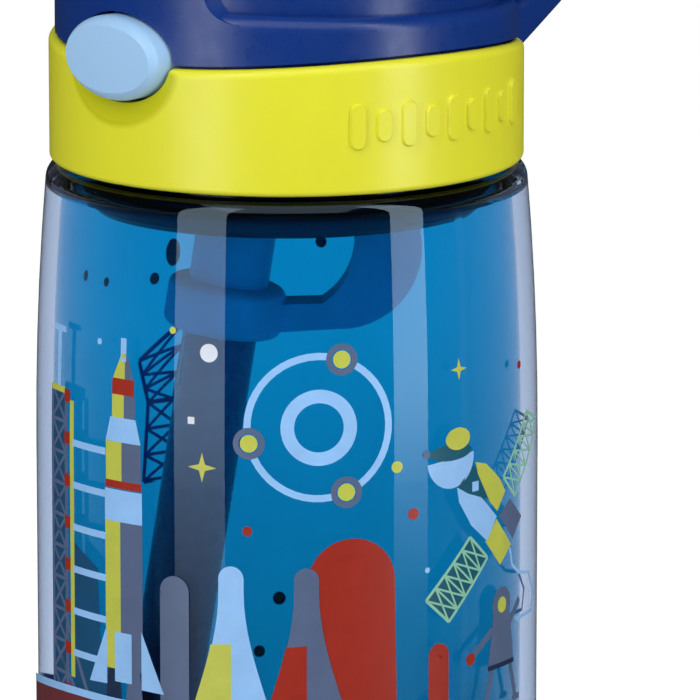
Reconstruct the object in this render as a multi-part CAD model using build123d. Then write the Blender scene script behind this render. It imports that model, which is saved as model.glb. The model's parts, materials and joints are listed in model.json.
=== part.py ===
from build123d import *
from math import cos, radians, sin, sqrt
import os

# Child's drinking bottle with a screw-on spout lid, every separate piece as its own solid.
# Millimetres. Origin: centre of the base ring on the bottle's axis, +Z up.
# -Y is the front, with the push button; +Y is the back, with the carry handle.

# ---- bottle shell -------------------------------------------------------------------------
BODY_R = 36.1           # widest radius, on the straight stretch
STRAIGHT_LOW = 60.0     # the side is straight between these two heights
STRAIGHT_HIGH = 100.0
SHOULDER_ARC_R = 447.0  # side profile above the straight stretch
TAPER_ARC_R = 800.0     # side profile below it
SHOULDER_TOP = 140.3
SHOULDER_CORNER = 2.4   # outer corner of the shoulder; the inner one is tighter
INNER_CORNER = 1.3
WALL = 2.4
FLOOR_T = 2.8
BASE_RING_IN = 26.0     # flat ring that the bottle stands on
BASE_RING_OUT = 29.5
PUSH_UP = 3.5
BASE_CORNER = 6.0
NECK_R = 30.6
NECK_BORE = 28.4
NECK_TOP = 149.6

# ---- screw thread -------------------------------------------------------------------------
PITCH = 4.0
THREAD_START = 142.6
BODY_TURNS = 1.25
COLLAR_TURNS = 1.0
THREAD_DEPTH = 1.3
THREAD_ROOT_W = 2.2
THREAD_CREST_W = 1.0

# ---- lid stack ----------------------------------------------------------------------------
COLLAR_R = 33.9
COLLAR_BORE = 32.5
COLLAR_LOW = 140.9
COLLAR_FOOT_EDGE = 0.8
COLLAR_TOP_EDGE = 1.2
DECK_LOW = 150.6
DECK_TOP = 152.3
DECK_R = 32.3
PLUG_R = 28.1           # plug skirt that reaches down inside the neck
PLUG_BORE = 26.5
PLUG_LOW = 134.0
LEDGE_TOP = 153.8       # inner ledge of the collar that holds the deck down
TONGUE_R = 32.3         # housing tongue that nests inside the collar
TONGUE_BORE = 30.4
PART_R = 232.0          # the line between collar and housing is an arc about an axis along X
PART_Y = -6.5
PART_TOP = 159.57
PART_GAP = 0.5
RIM_R = 33.0
RIM_TOP = 164.9         # height of the rim's top on the axis; it slopes down to the back
RIM_SLOPE = 2.7
RIM_EDGE = 2.0
LID_WALL = 2.2
DOME_R = 30.2
DOME_SPRING = 171.0     # height where the dome starts
DOME_RISE = 11.0
HOOD_HALF = 13.7        # raised hood over the spout, front to hinge
HOOD_FLARE = 4.5        # concave fillet where the hood's sides meet the rim
HOOD_TOP = 185.0
HOOD_BACK = 12.0

# ---- raised ribs on the collar -------------------------------------------------------------
MOTIF_COUNT = 9
MOTIF_FROM = 62.0       # angle round from the button
MOTIF_STEP = 6.6
MOTIF_Z = 150.6
MOTIF_TALL = 4.2
MOTIF_R = 1.25
MOTIF_RELIEF = 0.45

# ---- push button --------------------------------------------------------------------------
BUTTON_Z = 159.0
BUTTON_W = 18.0
BUTTON_H = 12.0
BUTTON_FACE_Y = -36.0
BUTTON_BACK_Y = -26.7
BUTTON_GAP = 0.4
DISH_R = 26.7           # scoop round the button, cut by a cylinder across the front
DISH_DEPTH = 1.6
LATCH_LOW = 160.6
LATCH_FOOT_TOP = 164.4
LATCH_TOP = 172.4
LATCH_ARM_HALF = 3.4
LATCH_FOOT_HALF = 4.6
LATCH_KEY_HALF = 3.9
LATCH_KEY_TOP = 162.45
LATCH_ARM_BACK = -24.6
CATCH_Z = 170.9         # underside of the latch's nose
SPRING_Z = 157.6
SPRING_WIRE = 0.32
SPRING_COIL_R = 2.3
SPRING_FRONT = -33.4
SPRING_BACK = -20.0

# ---- spout and cover ----------------------------------------------------------------------
CHANNEL_HALF = 9.5      # clear half width of the spout's channel
CHANNEL_WALL = 1.4
FLOOR_LOW = 162.7
FLOOR_TOP = 164.2
FLOOR_FRONT = -21.6
COVER_HALF = 9.3
COVER_SEAM_Z = 172.0    # the cover's front edge, on the face of the hood
COVER_T = 2.0
HINGE_Y = 5.0
HINGE_R = 3.4
HINGE_Z = HOOD_TOP - HINGE_R
KNUCKLE_HALF = 6.4
COVER_PIN_R = 1.0
PIVOT_Y = 0.0
PIVOT_Z = 169.6
BARREL_R = 4.2
BARREL_HALF = 6.8
SPOUT_PIN_R = 1.25
SPOUT_TIP_Y = -21.6
SPOUT_ROOT_Y = -5.6
SPOUT_W = 13.0
SPOUT_H = 9.4
NOZZLE_R = 3.0
NOZZLE_TIP_Y = -15.0
BARB_R = 3.5
BARB_Y = -8.0
SPOUT_BORE = 2.0

# ---- straw --------------------------------------------------------------------------------
LEAN_HEADING = 45.0     # the straw leans in the vertical plane at this angle from +X
LEAN_SLOPE = 0.155      # sideways run for each millimetre of height
LEAN_Z = 130.0
LEAN_OFFSET = -7.2      # sideways offset of the straw's axis at LEAN_Z
SPIGOT_R = 4.05
SPIGOT_BORE = 2.9
SLEEVE_R = 5.75
SLEEVE_HIGH = 138.0
FLANGE_R = 8.5
FLANGE_LOW = 115.4
FLANGE_HIGH = 122.6
STRAW_R = 5.25
STRAW_BORE = 4.2
STRAW_FOOT = 15.0
FOOT_SLANT = 32.0
STRAP_HALF = 3.2
STRAP_TOP = 134.4
PEG_ACROSS = 14.2       # peg on the deck that pins the strap's far end
PEG_R = 1.6
FLEX_R = 4.95
FLEX_BORE = 2.2

# ---- carry handle -------------------------------------------------------------------------
HANDLE_ROOT_HALF = 15.0
HANDLE_TIP_HALF = 11.0
HANDLE_OUT_Y = 50.4
HANDLE_EDGE = 1.3

VENT_AT = (-12.0, 12.0)
VENT_HOLE_R = 1.3
FAR = 60.0              # reach of a cutting tool, well past the part
UP = (Align.CENTER, Align.CENTER, Align.MIN)
YZ = Plane(origin=(0, 0, 0), x_dir=(0, 1, 0), z_dir=(1, 0, 0))
XZ = Plane(origin=(0, 0, 0), x_dir=(1, 0, 0), z_dir=(0, -1, 0))


def tube(outer, inner, low, high):
    """Upright ring between two heights."""
    height = high - low
    ring = Cylinder(outer, height, align=UP) - Cylinder(inner, height, align=UP)
    return Pos(0, 0, low) * ring


def rod(radius, low, high):
    """Upright solid cylinder between two heights."""
    return Pos(0, 0, low) * Cylinder(radius, high - low, align=UP)


def block(x_span, y_span, z_span):
    """Box between three pairs of limits."""
    size = (x_span[1] - x_span[0], y_span[1] - y_span[0], z_span[1] - z_span[0])
    corner = Pos(x_span[0], y_span[0], z_span[0])
    return corner * Box(*size, align=(Align.MIN, Align.MIN, Align.MIN))


def cross_rod(radius, y, z, x_low, x_high):
    """Cylinder along X about the line through (y, z)."""
    turned = Pos(x_low, y, z) * Rot(0, 90, 0)
    return turned * Cylinder(radius, x_high - x_low, align=UP)


def both_sides(shape):
    """A shape and its mirror image across the bottle's middle plane."""
    return shape + mirror(shape, Plane.YZ)


def revolved(edges):
    """Full turn about Z of a closed outline drawn in the XZ plane."""
    return revolve(make_face(edges), Axis.Z)


def side_slab(edges, half):
    """Outline in the YZ plane, drawn as (y, z), thickened to +-half along X."""
    return extrude(YZ * make_face(edges), half, both=True)


# ---- bottle body --------------------------------------------------------------------------
def side_radius(z):
    """Outer radius of the bottle's side at a height."""
    if z > STRAIGHT_HIGH:
        return BODY_R - SHOULDER_ARC_R + sqrt(SHOULDER_ARC_R**2 - (z - STRAIGHT_HIGH)**2)
    if z < STRAIGHT_LOW:
        return BODY_R - TAPER_ARC_R + sqrt(TAPER_ARC_R**2 - (STRAIGHT_LOW - z)**2)
    return BODY_R


def bottle_profile(inset, floor, push_up, ring, foot_corner, top, top_corner, neck, neck_top):
    """Half section, drawn in X and Z: base, side and shoulder at one distance inside the skin."""
    low_mid = (floor + STRAIGHT_LOW) / 2
    high_mid = (STRAIGHT_HIGH + top) / 2
    foot = (side_radius(floor) - inset, floor)
    shoulder = (side_radius(top) - inset, top)
    low_straight = (BODY_R - inset, STRAIGHT_LOW)
    high_straight = (BODY_R - inset, STRAIGHT_HIGH)
    edges = [
        ThreePointArc((0, push_up), (ring * 0.5, floor + (push_up - floor) * 0.76), (ring, floor)),
        Line((ring, floor), foot),
        ThreePointArc(foot, (side_radius(low_mid) - inset, low_mid), low_straight),
        Line(low_straight, high_straight),
        ThreePointArc(high_straight, (side_radius(high_mid) - inset, high_mid), shoulder),
        Line(shoulder, (neck, top)),
        Line((neck, top), (neck, neck_top)),
        Line((neck, neck_top), (0, neck_top)),
        Line((0, neck_top), (0, push_up)),
    ]
    face = make_face([Plane.XZ * edge for edge in edges])
    corners = face.vertices().filter_by(lambda v: (v.X - foot[0])**2 + (v.Z - foot[1])**2 < 0.01)
    face = fillet(corners, foot_corner)
    corners = face.vertices().filter_by(
        lambda v: (v.X - shoulder[0])**2 + (v.Z - shoulder[1])**2 < 0.01)
    return fillet(corners, top_corner)


def thread_ridge(radius, depth, turns, start_angle):
    """Trapezoid ridge along the thread's helix; a negative depth points inwards."""
    path = Helix(pitch=PITCH, height=PITCH * turns, radius=radius)
    root, crest = THREAD_ROOT_W / 2, THREAD_CREST_W / 2
    section = Plane(origin=path @ 0, x_dir=(1, 0, 0), z_dir=path % 0)
    outline = Polyline((0, -root), (depth, -crest), (depth, crest), (0, root), close=True)
    ridge = sweep(section * make_face(outline), path=path, is_frenet=True)
    return Pos(0, 0, THREAD_START) * Rot(0, 0, start_angle) * ridge


def bottle_body():
    outer = revolve(
        bottle_profile(0, 0, PUSH_UP, BASE_RING_IN, BASE_CORNER,
                       SHOULDER_TOP, SHOULDER_CORNER, NECK_R, NECK_TOP),
        Axis.Z)
    inner = revolve(
        bottle_profile(WALL, FLOOR_T, PUSH_UP + FLOOR_T, BASE_RING_IN - 1.5, BASE_CORNER - 1.5,
                       SHOULDER_TOP - WALL, INNER_CORNER, NECK_BORE, NECK_TOP + 1),
        Axis.Z)
    shell = outer - inner
    lip = shell.edges().filter_by(GeomType.CIRCLE).group_by(Axis.Z)[-1]
    shell = fillet(lip, 0.5)
    return shell + thread_ridge(NECK_R - 0.15, THREAD_DEPTH + 0.15, BODY_TURNS, 0)


# ---- surfaces shared by the lid's pieces ------------------------------------------------------
def below_parting(lift=0.0):
    """Everything under the curved line where the collar meets the housing."""
    return cross_rod(PART_R + lift, PART_Y, PART_TOP - PART_R, -FAR, FAR)


def button_outline(grow):
    """Oval across the front of the lid, drawn at the frame's middle plane."""
    return Pos(0, BUTTON_Z) * Ellipse(BUTTON_W / 2 + grow, BUTTON_H / 2 + grow)


def button_prism(grow, y_low, y_high):
    """Oval bar along Y between two depths."""
    face = Plane(origin=(0, y_high, 0), x_dir=(1, 0, 0), z_dir=(0, -1, 0)) * button_outline(grow)
    return extrude(face, y_high - y_low)


def hood_side(inset, back):
    """Side view of the hood: upright front, arched top, level run to the back."""
    top = HOOD_TOP - inset
    return [
        Line((-40, 150), (-40, 168.6 - inset)),
        ThreePointArc((-40, 168.6 - inset), (-22, 180.9 - inset), (0, top)),
        Line((0, top), (back, top)),
        Line((back, top), (back, 150)),
        Line((back, 150), (-40, 150)),
    ]


def hood_front(inset):
    """Front view of the hood: upright sides that flare into the rim's top."""
    half = HOOD_HALF - inset
    foot = RIM_TOP - inset
    flare = HOOD_FLARE + inset
    mid = flare * (1 - sqrt(0.5))
    edges = [Line((-half, 200), (half, 200)), Line((-half - flare, 150), (half + flare, 150))]
    for side in (-1, 1):
        edges.append(Line((side * half, 200), (side * half, foot + flare)))
        edges.append(ThreePointArc((side * half, foot + flare), (side * (half + mid), foot + mid),
                                   (side * (half + flare), foot)))
        edges.append(Line((side * (half + flare), foot), (side * (half + flare), 150)))
    return edges


def hood(inset, back):
    """The hood as a solid, kept inside the rim's cylinder."""
    side = side_slab(hood_side(inset, back), 40)
    front = Pos(0, 60, 0) * extrude(XZ * make_face(hood_front(inset)), 120)
    return side & front & rod(RIM_R - inset, 150, 200)


def dome(inset):
    """Round upper shell of the housing, down to the height where the tongue starts."""
    radius = DOME_R - inset
    rise = DOME_RISE - inset
    cap = Pos(0, 0, DOME_SPRING) * scale(Sphere(radius), (1, 1, rise / radius))
    return rod(radius, 150, DOME_SPRING) + (cap & rod(radius + 1, DOME_SPRING, 200))


def rim(inset):
    """Drum whose top slopes down towards the handle."""
    above = Pos(0, 0, RIM_TOP - inset) * Rot(-RIM_SLOPE, 0, 0) * Box(90, 90, 40, align=UP)
    return rod(RIM_R - inset, 150, RIM_TOP + 5) - above


# ---- lid: collar, housing, handle -----------------------------------------------------------
def rib_motif():
    """Row of plain raised ribs on the collar's side, alternately tall and short."""
    skin = tube(COLLAR_R + MOTIF_RELIEF, COLLAR_R - 0.4, 145, 156)
    ribs = []
    for number in range(MOTIF_COUNT):
        height = MOTIF_TALL if number % 2 == 0 else MOTIF_TALL * 0.55
        core = Cylinder(MOTIF_R, height)
        ends = Pos(0, 0, height / 2) * Sphere(MOTIF_R) + Pos(0, 0, -height / 2) * Sphere(MOTIF_R)
        angle = MOTIF_FROM + number * MOTIF_STEP
        place = Rot(0, 0, angle) * Pos(0, -COLLAR_R + MOTIF_R - 0.9, MOTIF_Z)
        ribs.append(place * (core + ends) & skin)
    return ribs


def threaded_collar():
    ring = tube(COLLAR_R, COLLAR_BORE, COLLAR_LOW, PART_TOP + 2) & below_parting()
    outer_edges = ring.edges().filter_by(lambda e: e.bounding_box().size.X > 2 * COLLAR_R - 0.5)
    ring = fillet(outer_edges.group_by(Axis.Z)[0], COLLAR_FOOT_EDGE)
    outer_edges = ring.edges().filter_by(
        lambda e: e.bounding_box().size.X > 2 * COLLAR_R - 0.5 and e.center().Z > 150)
    ring = fillet(outer_edges, COLLAR_TOP_EDGE)
    ring += tube(COLLAR_BORE + 0.5, 31.0, DECK_TOP + 0.15, LEDGE_TOP)
    ring += tube(COLLAR_BORE + 0.5, DECK_R - 0.25, DECK_LOW - 0.7, DECK_LOW - 0.1)
    ring += thread_ridge(COLLAR_BORE + 0.15, -(THREAD_DEPTH + 0.15), COLLAR_TURNS, 180)
    for rib in rib_motif():
        ring += rib
    ring -= button_prism(BUTTON_GAP, -40, -26)
    return ring - cross_rod(DISH_R, -COLLAR_R + DISH_DEPTH - DISH_R, BUTTON_Z, -20, 20)


def ears():
    """Hinge ears that hold the cover's pin, tied to the channel's back wall."""
    ear = cross_rod(HINGE_R, HINGE_Y, HINGE_Z, KNUCKLE_HALF + 0.2, CHANNEL_HALF + 0.3)
    web = block((KNUCKLE_HALF + 0.2, CHANNEL_HALF + 0.3), (HINGE_Y, HOOD_BACK - 1), (174, HINGE_Z))
    return both_sides(ear + web)


def channel():
    """Floor, side walls and back wall that the spout folds into."""
    outer = CHANNEL_HALF + CHANNEL_WALL
    back = HINGE_Y + HINGE_R + 0.3
    floor = block((-outer, outer), (FLOOR_FRONT, back + CHANNEL_WALL), (FLOOR_LOW, FLOOR_TOP))
    floor -= Pos(-0.8, -0.8, 0) * rod(6.2, FLOOR_LOW - 1, FLOOR_TOP + 1)
    wall = block((CHANNEL_HALF, outer), (-33, back + CHANNEL_WALL), (FLOOR_TOP, HOOD_TOP))
    rear = block((-outer, outer), (back, back + CHANNEL_WALL), (FLOOR_TOP, HOOD_TOP))
    seat = block((-4.5, 4.5), (SPRING_BACK + 0.05, SPRING_BACK + 1.8), (153.2, FLOOR_LOW + 0.5))
    inside = hood(0.6, HOOD_BACK) + dome(0.6)
    return (floor + both_sides(wall) + rear) & inside, seat


def cover_opening():
    """Room for the cover in the hood's top and front, with its hinge."""
    cut = block((-CHANNEL_HALF, CHANNEL_HALF), (-40, HINGE_Y), (COVER_SEAM_Z, 200))
    cut += cross_rod(HINGE_R + 0.3, HINGE_Y, HINGE_Z, -CHANNEL_HALF, CHANNEL_HALF)
    behind = (HINGE_Y - 1, HINGE_Y + HINGE_R + 0.3)
    return cut + block((-CHANNEL_HALF, CHANNEL_HALF), behind, (HINGE_Z, 200))


def lid_housing():
    drum = rim(0)
    drum = fillet(drum.edges().group_by(Axis.Z)[-1], RIM_EDGE)
    outer = drum + dome(0) + hood(0, HOOD_BACK)
    inner = rim(LID_WALL) + dome(LID_WALL)
    inner += hood(LID_WALL, HOOD_BACK - LID_WALL)
    shell = (outer - inner) - below_parting(PART_GAP)
    tongue = tube(TONGUE_R, TONGUE_BORE, LEDGE_TOP + 0.1, RIM_TOP - LID_WALL) & rim(LID_WALL - 0.5)
    walls, seat = channel()
    shell = shell + tongue + walls + seat
    shell -= cover_opening()
    shell += ears()
    shell -= button_prism(BUTTON_GAP, -40, -26)
    shell -= cross_rod(SPOUT_PIN_R + 0.01, PIVOT_Y, PIVOT_Z, -10.9, 10.9)
    shell -= cross_rod(COVER_PIN_R + 0.01, HINGE_Y, HINGE_Z, -9.3, 9.3)
    return shell


def carry_handle():
    """Wide loop behind the lid, open to a finger from the side."""
    outer = [
        Line((28, 151.2), (44.4, 159.1)),
        ThreePointArc((44.4, 159.1), (HANDLE_OUT_Y - 0.5, 168.2), (HANDLE_OUT_Y - 1.0, 176.8)),
        ThreePointArc((HANDLE_OUT_Y - 1.0, 176.8), (45.2, 183.8), (36.0, 186.2)),
        ThreePointArc((36.0, 186.2), (24.0, 186.0), (HOOD_BACK + 0.1, HOOD_TOP)),
        Line((HOOD_BACK + 0.1, HOOD_TOP), (HOOD_BACK + 0.1, 150)),
        Line((HOOD_BACK + 0.1, 150), (28, 151.2)),
    ]
    hole = [
        Line((20, 159.8), (32.0, 159.8)),
        Line((32.0, 159.8), (41.6, 164.2)),
        ThreePointArc((41.6, 164.2), (45.2, 169.6), (44.8, 176.0)),
        ThreePointArc((44.8, 176.0), (41.8, 180.2), (35.6, 181.8)),
        ThreePointArc((35.6, 181.8), (27.0, 182.2), (20.0, 181.8)),
        Line((20.0, 181.8), (20, 159.8)),
    ]
    band = side_slab(outer, HANDLE_ROOT_HALF + 1)
    tip = HANDLE_TIP_HALF
    start = HOOD_HALF - 0.6
    plan = Polyline((-start, 10), (-HANDLE_ROOT_HALF, 31), (-tip, HANDLE_OUT_Y + 2),
                    (tip, HANDLE_OUT_Y + 2), (HANDLE_ROOT_HALF, 31), (start, 10), close=True)
    band &= Pos(0, 0, 140) * extrude(make_face(plan), 60)
    band -= side_slab(hole, 30)
    rounded = band.edges().filter_by(lambda e: e.center().Y > 34)
    band = fillet(rounded, HANDLE_EDGE)
    housing = rim(-0.05) + dome(-0.05)
    return (band - housing) - (below_parting(PART_GAP) & rod(COLLAR_R + 0.3, 130, 170))


# ---- lid: deck, seals, straw --------------------------------------------------------------
def lean_frame():
    """Frame on the straw's axis: Z runs up the straw, Y is level and square to its plane."""
    heading = radians(LEAN_HEADING)
    across = Vector(cos(heading), sin(heading), 0)
    axis = (across * LEAN_SLOPE + Vector(0, 0, 1)).normalized()
    origin = across * LEAN_OFFSET + Vector(0, 0, LEAN_Z)
    level = Vector(0, 0, 1).cross(across)
    return Plane(origin=origin, x_dir=level.cross(axis), z_dir=axis)


def along_straw(shape):
    """Places a shape drawn about an upright axis, at true heights, on the leaning axis."""
    return lean_frame().location * Pos(0, 0, -LEAN_Z) * shape


def straw_sheet():
    """Upright plane that holds the straw: X runs sideways, Y is height."""
    heading = radians(LEAN_HEADING)
    across = (cos(heading), sin(heading), 0)
    return Plane(origin=(0, 0, 0), x_dir=across, z_dir=(sin(heading), -cos(heading), 0))


def seal_deck():
    plate = rod(DECK_R, DECK_LOW, DECK_TOP)
    plate -= tube(NECK_R + 0.55, NECK_BORE + 0.05, DECK_LOW - 1, DECK_LOW + 0.8)
    skirt = tube(PLUG_R, PLUG_BORE, PLUG_LOW, DECK_LOW + 0.5)
    skirt = chamfer(skirt.edges().group_by(Axis.Z)[0].sort_by(SortBy.RADIUS)[-1], 0.8)
    spigot = along_straw(rod(SPIGOT_R, 124.0, 157.0)) & rod(20, 120, 155.8)
    collar = along_straw(rod(SLEEVE_R, SLEEVE_HIGH + 0.1, 156.0)) & rod(20, SLEEVE_HIGH - 3, DECK_TOP)
    peg = straw_sheet().location * Pos(PEG_ACROSS, 0, 0) * Rot(-90, 0, 0)
    peg *= rod(PEG_R, STRAP_TOP + 0.1, DECK_LOW + 0.4)
    deck = plate + skirt + spigot + collar + peg
    deck -= along_straw(rod(SPIGOT_BORE, 120.0, 160.0))
    deck -= Pos(*VENT_AT, 0) * rod(VENT_HOLE_R, DECK_LOW - 1, DECK_TOP + 1)
    return deck


def seal_ring():
    ring = tube(NECK_R + 0.4, NECK_BORE + 0.2, NECK_TOP + 0.05, DECK_LOW + 0.65)
    return fillet(ring.edges(), 0.3)


def pull_strap():
    """D-shaped strap between the sleeve's flange and the underside of the deck."""
    outline = [
        Line((9.6, STRAP_TOP), (18.9, STRAP_TOP)),
        Line((18.9, STRAP_TOP), (19.1, 130.0)),
        ThreePointArc((19.1, 130.0), (16.0, 119.8), (7.1, 116.2)),
        Line((7.1, 116.2), (-7.0, 115.4)),
        Line((-7.0, 115.4), (-7.0, 119.6)),
        Line((-7.0, 119.6), (5.1, 119.9)),
        ThreePointArc((5.1, 119.9), (8.3, 123.2), (9.6, 130.2)),
        Line((9.6, 130.2), (9.6, STRAP_TOP)),
    ]
    return extrude(straw_sheet() * make_face(outline), STRAP_HALF, both=True)


def straw_sleeve():
    body = rod(SLEEVE_R, FLANGE_HIGH - 2, SLEEVE_HIGH)
    flange = rod(FLANGE_R, FLANGE_LOW, FLANGE_HIGH)
    body += fillet(flange.edges(), 1.4)
    sleeve = along_straw(body) + pull_strap()
    sleeve -= along_straw(rod(SPIGOT_R + 0.1, FLANGE_LOW, SLEEVE_HIGH + 1))
    sleeve -= along_straw(rod(STRAW_R + 0.1, FLANGE_LOW - 1, FLANGE_HIGH - 1.3))
    hole = straw_sheet().location * Pos(PEG_ACROSS, 0, 0) * Rot(-90, 0, 0)
    return sleeve - hole * rod(PEG_R + 0.1, 130.0, 136)


def straw():
    """Plain tube, its foot cut at a slant so that it cannot seal against the base."""
    steep = sqrt(1 + LEAN_SLOPE**2)
    foot = LEAN_Z - (LEAN_Z - STRAW_FOOT) * steep
    pipe = tube(STRAW_R, STRAW_BORE, foot - 5, FLANGE_HIGH - 1.5)
    slant = Pos(0, 0, foot) * Rot(0, -FOOT_SLANT, 0) * Box(60, 60, 60, align=(
        Align.CENTER, Align.CENTER, Align.MAX))
    return along_straw(pipe - slant)


def vent_valve():
    """Soft umbrella valve pushed through the deck: cap below, stem, retaining bead above."""
    stem = rod(VENT_HOLE_R - 0.15, DECK_LOW - 1.2, DECK_TOP + 1.6)
    cap = Pos(0, 0, DECK_LOW - 1.2) * Cone(4.6, 3.4, 1.1, align=UP)
    bead = Pos(0, 0, DECK_TOP + 0.05) * Cone(2.0, 1.2, 1.5, align=UP)
    return Pos(*VENT_AT, 0) * (stem + cap + bead)


# ---- push button, latch, springs ------------------------------------------------------------
def push_button():
    body = button_prism(0, BUTTON_FACE_Y, BUTTON_BACK_Y)
    front = body.edges().group_by(Axis.Y)[0]
    body = fillet(front, 2.2)
    body &= Pos(0, 22.0, BUTTON_Z) * Sphere(-BUTTON_FACE_Y + 22.0)
    pocket = button_prism(-1.8, SPRING_FRONT - 0.1, BUTTON_BACK_Y + 1)
    flange = button_prism(0.75, -27.8, BUTTON_BACK_Y)
    flange -= block((-20, 20), (-30, -20), (140, DECK_TOP + 0.35))
    body = body + flange - pocket
    guide = block((-5.4, 5.4), (-31, BUTTON_BACK_Y), (162.5, 163.5))
    return body + guide


def button_latch():
    """Arm behind the button whose nose faces the cover's catch."""
    arm_y, tip_y, inner_y = -26.0, -26.85, -25.5
    foot = block((-LATCH_FOOT_HALF, LATCH_FOOT_HALF), (BUTTON_BACK_Y + 0.02, -25.2),
                 (LATCH_LOW, LATCH_FOOT_TOP))
    arm = block((-LATCH_ARM_HALF, LATCH_ARM_HALF), (arm_y, LATCH_ARM_BACK), (LATCH_LOW, LATCH_TOP))
    key = block((-LATCH_KEY_HALF, LATCH_KEY_HALF), (-30.5, BUTTON_BACK_Y + 0.1),
                (LATCH_LOW, LATCH_KEY_TOP))
    nose = [
        Line((tip_y, CATCH_Z), (arm_y, LATCH_TOP)),
        Line((arm_y, LATCH_TOP), (inner_y, LATCH_TOP)),
        Line((inner_y, LATCH_TOP), (inner_y, CATCH_Z)),
        Line((inner_y, CATCH_Z), (tip_y, CATCH_Z)),
    ]
    return foot + arm + key + side_slab(nose, LATCH_ARM_HALF)


def coil(radius, wire, length, turns):
    """Round-wire coil about Z, from z = 0 to its length, with the wire inside that span."""
    path = Helix(pitch=(length - 2 * wire) / turns, height=length - 2 * wire, radius=radius)
    section = Plane(origin=path @ 0, z_dir=path % 0) * Circle(wire)
    return Pos(0, 0, wire) * sweep(section, path=path, is_frenet=True)


def button_spring():
    length = SPRING_BACK - SPRING_FRONT
    spring = coil(SPRING_COIL_R, SPRING_WIRE, length - 0.1, 8)
    return Pos(0, SPRING_FRONT + 0.05, SPRING_Z) * Rot(-90, 0, 0) * spring


def spout_spring():
    spring = coil(2.3, 0.3, 1.9, 2.5)
    return Pos(BARREL_HALF + 0.35, PIVOT_Y, PIVOT_Z) * Rot(0, 90, 0) * spring


def cover_spring():
    spring = coil(1.7, 0.25, 4.6, 6)
    return Pos(-2.3, HINGE_Y, HINGE_Z) * Rot(0, 90, 0) * spring


# ---- cover, spout, pins ------------------------------------------------------------------------
def flip_cover():
    skin = hood(0, HINGE_Y) - hood(COVER_T, HINGE_Y + 1)
    panel = skin & block((-COVER_HALF, COVER_HALF), (-40, HINGE_Y), (COVER_SEAM_Z + 0.15, 200))
    knuckle = cross_rod(HINGE_R, HINGE_Y, HINGE_Z, -KNUCKLE_HALF, KNUCKLE_HALF)
    cover = panel + knuckle
    cover -= both_sides(cross_rod(HINGE_R + 0.3, HINGE_Y, HINGE_Z, KNUCKLE_HALF, 20))
    cover -= cross_rod(2.6, HINGE_Y, HINGE_Z, -2.7, 2.7)
    cover -= block((-2.7, 2.7), (HINGE_Y - 2.6, HINGE_Y + 2.6), (170, HINGE_Z))
    cover -= cross_rod(COVER_PIN_R + 0.06, HINGE_Y, HINGE_Z, -10, 10)
    tab = block((-LATCH_ARM_HALF, LATCH_ARM_HALF), (-29.7, -28.5), (CATCH_Z - 1.6, 176.5))
    lip = block((-LATCH_ARM_HALF, LATCH_ARM_HALF), (-28.6, -27.0), (CATCH_Z - 1.6, CATCH_Z - 0.3))
    return cover + tab + lip


def cover_pin():
    return cross_rod(COVER_PIN_R, HINGE_Y, HINGE_Z, -9.2, 9.2)


def spout_pin():
    return cross_rod(SPOUT_PIN_R, PIVOT_Y, PIVOT_Z, -10.8, 10.8)


def bar_along_y(radius, y_low, y_high):
    """Cylinder along Y about the spout's centre line."""
    return Pos(0, y_low, PIVOT_Z) * Rot(-90, 0, 0) * Cylinder(radius, y_high - y_low, align=UP)


def spout_core():
    barrel = cross_rod(BARREL_R, PIVOT_Y, PIVOT_Z, -BARREL_HALF, BARREL_HALF)
    nozzle = bar_along_y(NOZZLE_R, NOZZLE_TIP_Y, PIVOT_Y)
    barb = bar_along_y(BARB_R, BARB_Y, PIVOT_Y)
    core = barrel + nozzle + barb
    core -= bar_along_y(SPOUT_BORE, NOZZLE_TIP_Y - 1, PIVOT_Y - 2.4)
    return core - cross_rod(SPOUT_PIN_R + 0.06, PIVOT_Y, PIVOT_Z, -20, 20)


def spout():
    """Soft mouthpiece: oval section, waisted, with a rolled tip."""
    sections = []
    stations = (
        (SPOUT_ROOT_Y, SPOUT_W, SPOUT_H),
        (-11.0, SPOUT_W - 1.5, SPOUT_H - 1.2),
        (-17.0, SPOUT_W - 1.0, SPOUT_H - 1.4),
        (SPOUT_TIP_Y, SPOUT_W - 2.6, SPOUT_H - 3.0),
    )
    for y, width, height in stations:
        plane = Plane(origin=(0, y, PIVOT_Z), x_dir=(1, 0, 0), z_dir=(0, -1, 0))
        sections.append(plane * Ellipse(width / 2, height / 2))
    body = loft(sections)
    body = fillet(body.edges().group_by(Axis.Y)[0], 1.2)
    body -= bar_along_y(NOZZLE_R + 0.05, NOZZLE_TIP_Y - 0.2, 0)
    body -= bar_along_y(BARB_R + 0.05, BARB_Y - 0.2, 0)
    body -= bar_along_y(SPOUT_BORE, SPOUT_TIP_Y - 5, -10)
    return body - cross_rod(BARREL_R + 0.15, PIVOT_Y, PIVOT_Z, -20, 20)


def flex_tube():
    """Soft tube from the deck's spigot up to the underside of the spout's barrel."""
    top_frame = lean_frame()
    foot_t = (154.0 - LEAN_Z) * sqrt(1 + LEAN_SLOPE**2)
    foot = top_frame.origin + top_frame.z_dir * foot_t
    knee = top_frame.origin + top_frame.z_dir * (foot_t + 3.0)
    top = Vector(0, PIVOT_Y, PIVOT_Z - BARREL_R - 0.1)
    path = Line(foot, knee) + Spline(knee, top, tangents=(top_frame.z_dir, Vector(0, 0, 1)))
    start = Plane(origin=foot, z_dir=top_frame.z_dir)
    outer = sweep(start * Circle(FLEX_R), path=path)
    inner = sweep(start * Circle(FLEX_BORE), path=path)
    socket = along_straw(rod(SPIGOT_R + 0.05, 150, 157.6))
    return outer - inner - socket


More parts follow.
